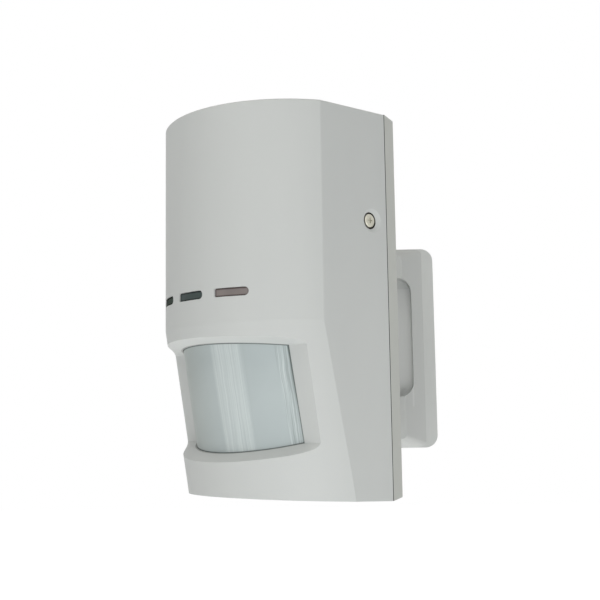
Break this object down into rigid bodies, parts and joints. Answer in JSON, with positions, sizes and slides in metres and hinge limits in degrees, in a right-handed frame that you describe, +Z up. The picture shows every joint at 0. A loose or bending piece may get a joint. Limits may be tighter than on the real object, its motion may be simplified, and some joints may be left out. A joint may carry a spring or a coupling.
{
  "type": "motion detector",
  "caption": "Wall-mounted passive infrared and microwave motion detector with an upright off-white case, recessed segmented lens and indicator slots, turned on a swivel wall bracket",
  "frame": {"origin": "centre of the bracket plate's flat wall side", "axes": "+Y into the wall (the detector looks towards -Y and is panned to -X), +Z up, +X to the right seen from in front of the wall"},
  "size_m": [0.1227, 0.1087, 0.16],
  "materials": {
    "case_plastic": "fine satin texture, off-white",
    "base_plastic": "fine satin texture, off-white",
    "lens_film": "milky translucent sheet, grey with a cyan cast, moulded ribs",
    "frame_plastic": "dull dark grey",
    "window_tint_green": "dark green tint, smooth",
    "window_tint_slate": "dark slate tint, smooth",
    "window_tint_mauve": "mauve brown tint, smooth",
    "screw_steel": "zinc plated, slightly warm",
    "board_laminate": "green solder mask",
    "can_tin": "tin plated",
    "pin_brass": "gold flashed",
    "clear_plastic": "clear, polished",
    "led_epoxy": "pale, glossy",
    "terminal_plastic": "green, satin",
    "black_plastic": "black, satin",
    "spring_steel": "rolled strip",
    "capacitor_sleeve": "dark sleeve",
    "red_plastic": "red, smooth",
    "grommet_rubber": "soft black",
    "bracket_plastic": "satin moulding, light grey in shade",
    "bolt_zinc": "zinc plated",
    "washer_rubber": "dull black"
  },
  "bodies": {
    "bracket": {"wall_plate": "bracket_plastic", "pivot_bolt": "bolt_zinc", "pivot_nut": "bolt_zinc", "friction_washers": "washer_rubber"},
    "head": {"front_cover": "case_plastic", "rear_base": "base_plastic", "fresnel_lens": "lens_film", "lens_frame": "frame_plastic", "indicator_window_left": "window_tint_green", "indicator_window_middle": "window_tint_slate", "indicator_window_right": "window_tint_mauve", "closing_screw": "screw_steel", "board_screws": "screw_steel", "arm_screws": "screw_steel", "circuit_board": "board_laminate", "microwave_board": "board_laminate", "microwave_can": "can_tin", "header_pins": "pin_brass", "pyro_sensor": "can_tin", "sensor_holder": "frame_plastic", "light_guide": "clear_plastic", "led_left": "led_epoxy", "led_middle": "led_epoxy", "led_right": "led_epoxy", "terminal_block": "terminal_plastic", "terminal_screws": "screw_steel", "tamper_switch": "black_plastic", "tamper_lever": "spring_steel", "alarm_relay": "black_plastic", "supply_capacitor": "capacitor_sleeve", "processor_chip": "black_plastic", "jumper_block": "black_plastic", "jumper_caps": "red_plastic", "cable_grommet": "grommet_rubber", "swivel_arm": "bracket_plastic"}
  },
  "joints": [
    {"name": "pan", "type": "hinge", "parent": "bracket", "child": "head", "pos_m": [0, -0.024, 0.0046], "axis": [0, 0, 1], "range_deg": [0, 90]}
  ]
}
